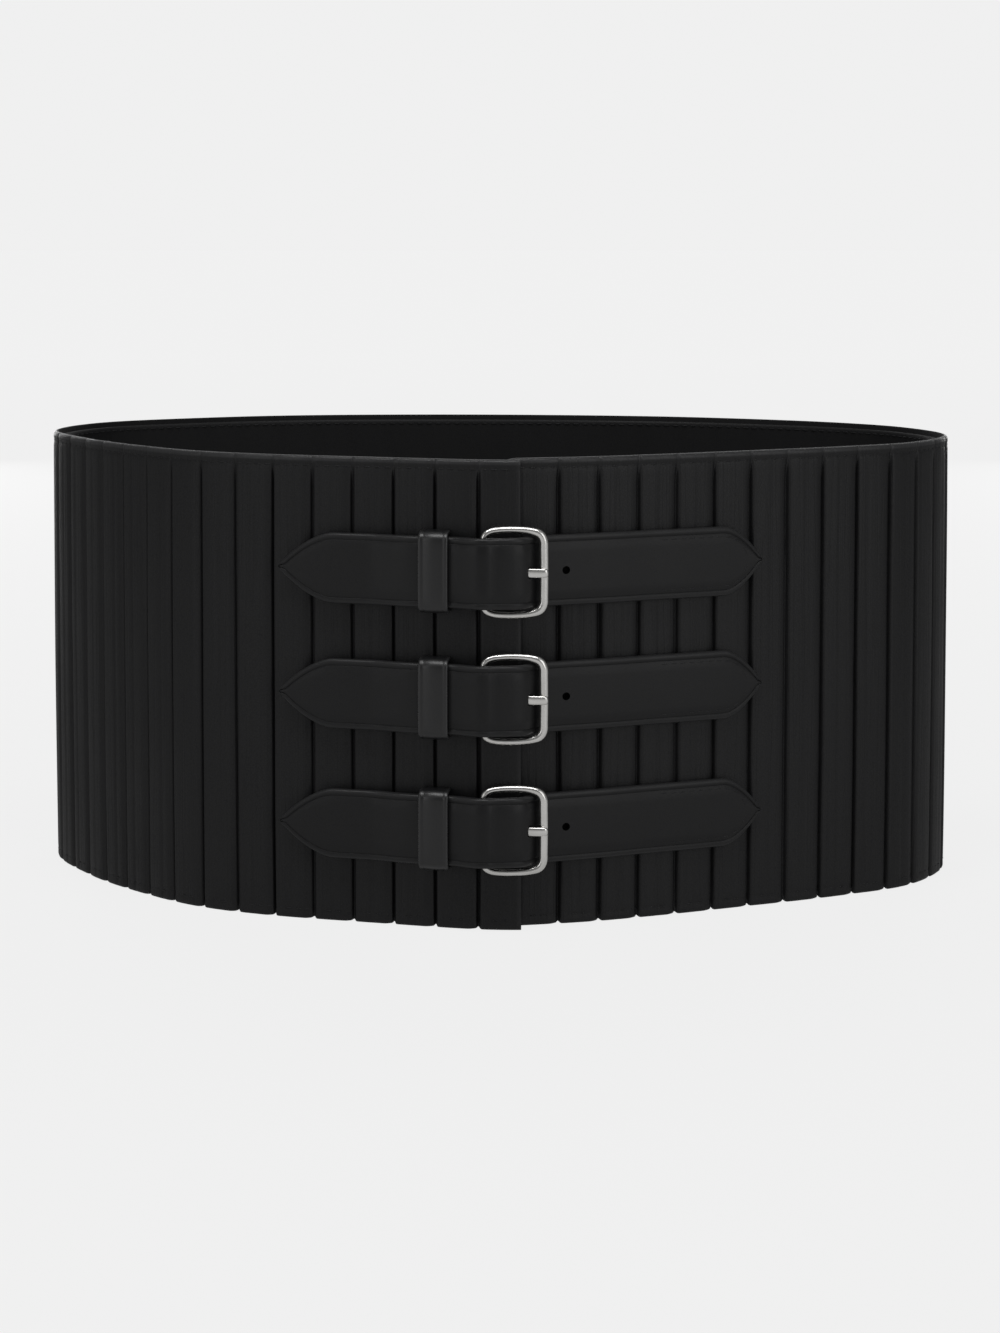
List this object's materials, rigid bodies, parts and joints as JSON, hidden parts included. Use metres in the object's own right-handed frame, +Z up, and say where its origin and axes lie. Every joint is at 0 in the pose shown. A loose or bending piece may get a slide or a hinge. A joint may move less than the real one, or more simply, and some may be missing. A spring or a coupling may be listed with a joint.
{
  "type": "corset belt",
  "caption": "Wide pleated leather corset belt that stands as a closed loop, its lapped front held by pointed straps through prong buckles.",
  "frame": {"origin": "middle of the object's box, at the lower edge that it stands on", "axes": "+Z up to the rim, -Y to the front with the buckles, +X to the viewer's right when seen from the front"},
  "size_m": [0.29, 0.1972, 0.14],
  "materials": {
    "pleated_leather": "black smooth leather, satin",
    "lining_leather": "black smooth lining leather, matt",
    "strap_leather": "black smooth strap leather with painted edges, satin",
    "nickel": "polished nickel"
  },
  "bodies": {
    "root": {"pleated_wrap": "pleated_leather", "lining": "lining_leather", "tongue_strap_1": "strap_leather", "tongue_strap_2": "strap_leather", "tongue_strap_3": "strap_leather", "buckle_strap_1": "strap_leather", "buckle_strap_2": "strap_leather", "buckle_strap_3": "strap_leather", "keeper_1": "strap_leather", "keeper_2": "strap_leather", "keeper_3": "strap_leather", "buckle_frame_1": "nickel", "buckle_frame_2": "nickel", "buckle_frame_3": "nickel", "prong_1": "nickel", "prong_2": "nickel", "prong_3": "nickel"}
  },
  "joints": []
}
